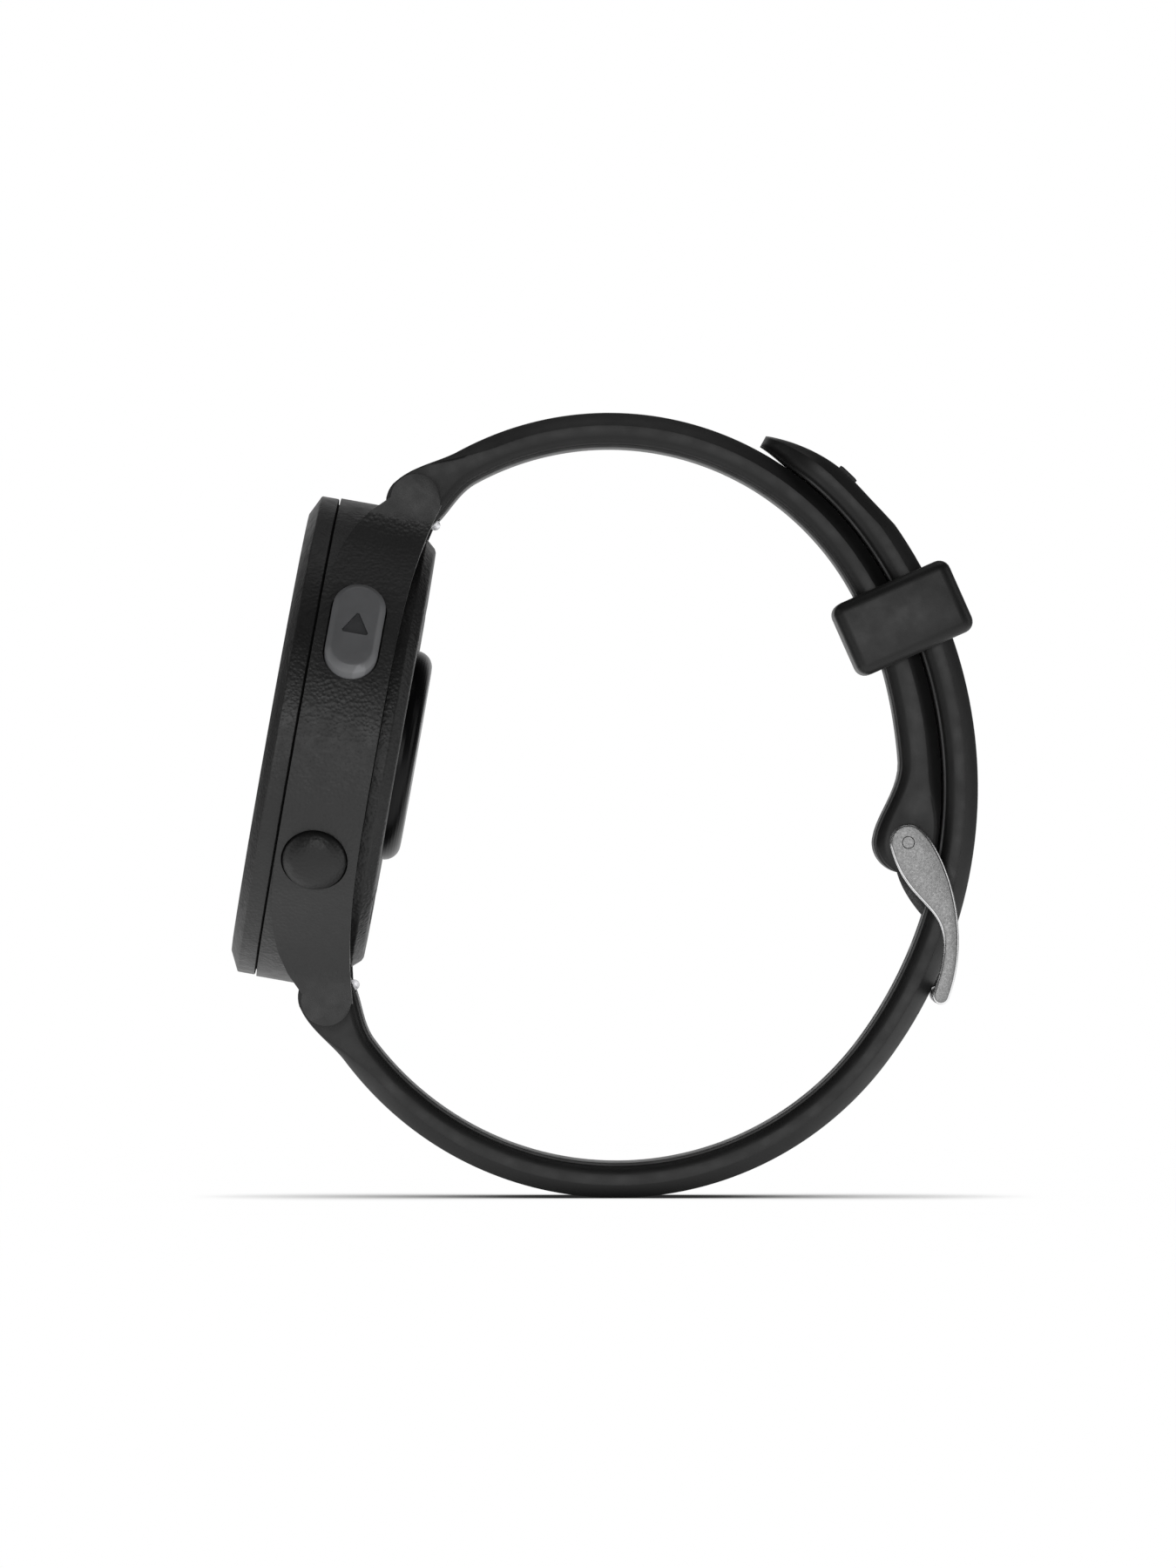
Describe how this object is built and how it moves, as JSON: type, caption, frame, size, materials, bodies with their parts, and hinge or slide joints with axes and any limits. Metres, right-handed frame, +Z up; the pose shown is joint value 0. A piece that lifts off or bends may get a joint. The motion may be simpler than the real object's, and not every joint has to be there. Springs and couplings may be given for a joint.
{
  "type": "gps running watch",
  "caption": "Black running watch standing buckled: round housing with push buttons, optical sensor at the back, silicone band with keeper and tongue buckle.",
  "frame": {"origin": "middle of the wrist opening, halfway across the band", "axes": "+Z up, +Y along the spring bars towards the side with the light, up and down buttons, +X from the dial towards the buckle. The dial faces -X and tips back 10.1 degrees."},
  "size_m": [0.0648, 0.0445, 0.068],
  "materials": {
    "housing_polymer": "fine-grained fibre-reinforced polymer",
    "bezel_polymer": "smooth satin polymer",
    "cover_glass": "polished chemically hardened glass",
    "sensor_window": "glossy, dark tinted",
    "display": "dark when off",
    "seal_rubber": "soft, matt",
    "magnesium": "cast, unpainted",
    "board": "solder-masked laminate",
    "antenna_foil": "plated foil",
    "shield_steel": "tinned sheet",
    "cell_foil": "laminated pouch",
    "sensor_ring_grey": "satin grey band",
    "led": "clear moulded",
    "socket_plastic": "smooth",
    "contact_gold": "gold plated",
    "start_button_grey": "satin mid grey",
    "button_black": "fine-grained, black",
    "stem_steel": "turned",
    "bar_steel": "turned stainless steel",
    "strap_silicone": "satin black silicone",
    "buckle_steel": "bead-blasted with polished edges"
  },
  "bodies": {
    "watch": {"case_body": "housing_polymer", "bezel": "bezel_polymer", "front_glass": "cover_glass", "glass_seal": "seal_rubber", "display_module": "display", "mid_frame": "magnesium", "gnss_antenna": "antenna_foil", "main_board": "board", "shield_cans": "shield_steel", "side_switches": "shield_steel", "battery": "cell_foil", "vibration_motor": "shield_steel", "piezo_disc": "antenna_foil", "back_seal": "seal_rubber", "back_cover": "housing_polymer", "back_cover_screws": "stem_steel", "sensor_lens": "sensor_window", "sensor_ring": "sensor_ring_grey", "sensor_board": "board", "sensor_leds": "led", "charge_socket": "socket_plastic", "charge_contacts": "contact_gold", "upper_bar_tube": "bar_steel", "upper_bar_tip": "bar_steel", "upper_spring": "bar_steel", "lower_bar_tube": "bar_steel", "lower_bar_tip": "bar_steel", "lower_spring": "bar_steel"},
    "start_button": {"start_cap": "start_button_grey", "start_stem": "stem_steel", "start_o_ring": "seal_rubber", "start_clip": "stem_steel"},
    "back_button": {"back_cap": "button_black", "back_stem": "stem_steel", "back_o_ring": "seal_rubber", "back_clip": "stem_steel"},
    "light_button": {"light_cap": "button_black", "light_stem": "stem_steel", "light_o_ring": "seal_rubber", "light_clip": "stem_steel"},
    "up_button": {"up_cap": "button_black", "up_stem": "stem_steel", "up_o_ring": "seal_rubber", "up_clip": "stem_steel"},
    "down_button": {"down_cap": "button_black", "down_stem": "stem_steel", "down_o_ring": "seal_rubber", "down_clip": "stem_steel"},
    "upper_lever": {"upper_release": "bar_steel"},
    "lower_lever": {"lower_release": "bar_steel"},
    "buckle_side": {"buckle_strap": "strap_silicone"},
    "tail_side": {"tail_strap": "strap_silicone"},
    "keeper_loop": {"keeper": "strap_silicone"},
    "buckle": {"buckle_frame": "buckle_steel", "buckle_pin": "buckle_steel"},
    "tongue": {"buckle_tongue": "buckle_steel"}
  },
  "joints": [
    {"name": "press_start", "type": "slide", "parent": "watch", "child": "start_button", "axis": [-0.0799, 0.8902, -0.4485], "range_m": [0, 0.0005], "stiffness_N_per_m": 1500, "springref_m": -0.0004},
    {"name": "press_back", "type": "slide", "parent": "watch", "child": "back_button", "axis": [0.0837, 0.8788, 0.4698], "range_m": [0, 0.0005], "stiffness_N_per_m": 1500, "springref_m": -0.0004},
    {"name": "press_light", "type": "slide", "parent": "watch", "child": "light_button", "axis": [-0.0837, -0.8788, -0.4698], "range_m": [0, 0.0005], "stiffness_N_per_m": 1500, "springref_m": -0.0004},
    {"name": "press_up", "type": "slide", "parent": "watch", "child": "up_button", "axis": [0, -1, 0], "range_m": [0, 0.0005], "stiffness_N_per_m": 1500, "springref_m": -0.0004},
    {"name": "press_down", "type": "slide", "parent": "watch", "child": "down_button", "axis": [0.0837, -0.8788, 0.4698], "range_m": [0, 0.0005], "stiffness_N_per_m": 1500, "springref_m": -0.0004},
    {"name": "upper_quick_release", "type": "slide", "parent": "watch", "child": "upper_lever", "axis": [0, 1, 0], "range_m": [0, 0.0012], "stiffness_N_per_m": 500, "springref_m": -0.001, "deforming": ["upper_spring"]},
    {"name": "lower_quick_release", "type": "slide", "parent": "watch", "child": "lower_lever", "axis": [0, 1, 0], "range_m": [0, 0.0012], "stiffness_N_per_m": 500, "springref_m": -0.001, "deforming": ["lower_spring"]},
    {"name": "buckle_strap_hinge", "type": "hinge", "parent": "watch", "child": "buckle_side", "pos_m": [-0.02065, 0, 0.02614], "axis": [0, 1, 0], "range_deg": [-0.15, 0.15]},
    {"name": "tail_strap_hinge", "type": "hinge", "parent": "watch", "child": "tail_side", "pos_m": [-0.02829, 0, -0.01678], "axis": [0, 1, 0], "range_deg": [-0.15, 0.15]},
    {"name": "keeper_travel", "type": "hinge", "parent": "buckle_side", "child": "keeper_loop", "pos_m": [-0.01163, 0, 0.00141], "axis": [0, 1, 0], "range_deg": [-6, 12]},
    {"name": "buckle_hinge", "type": "hinge", "parent": "buckle_side", "child": "buckle", "pos_m": [0.02204, 0, -0.00332], "axis": [0, 1, 0], "range_deg": [-1.5, 0]},
    {"name": "tongue_hinge", "type": "hinge", "parent": "buckle", "child": "tongue", "pos_m": [0.02204, 0, -0.00332], "axis": [0, 1, 0], "range_deg": [-1, 0]}
  ]
}
